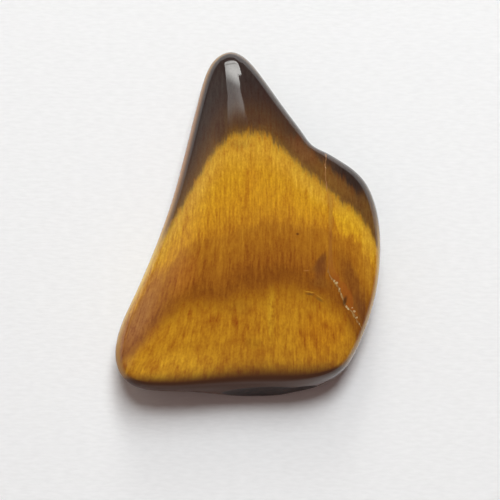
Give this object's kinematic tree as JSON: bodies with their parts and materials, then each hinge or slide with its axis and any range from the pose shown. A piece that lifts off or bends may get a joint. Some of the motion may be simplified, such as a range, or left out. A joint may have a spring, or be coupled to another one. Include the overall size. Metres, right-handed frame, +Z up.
{
  "type": "polished tigers eye slab",
  "caption": "Free-form slab of banded golden-brown tiger's eye, tumble-polished, with a pointed end, a pillowed face, rounded edges, small chips at the foot and a flat base.",
  "frame": {"origin": "under the middle of the slab, on the surface that it rests on", "axes": "+Y along the slab's length towards its pointed end, +Z up out of its polished face, +X to the right seen from above with the point away"},
  "size_m": [0.0342, 0.0466, 0.0077],
  "materials": {
    "tigers_eye": "polished"
  },
  "bodies": {
    "root": {"stone": "tigers_eye"}
  },
  "joints": []
}
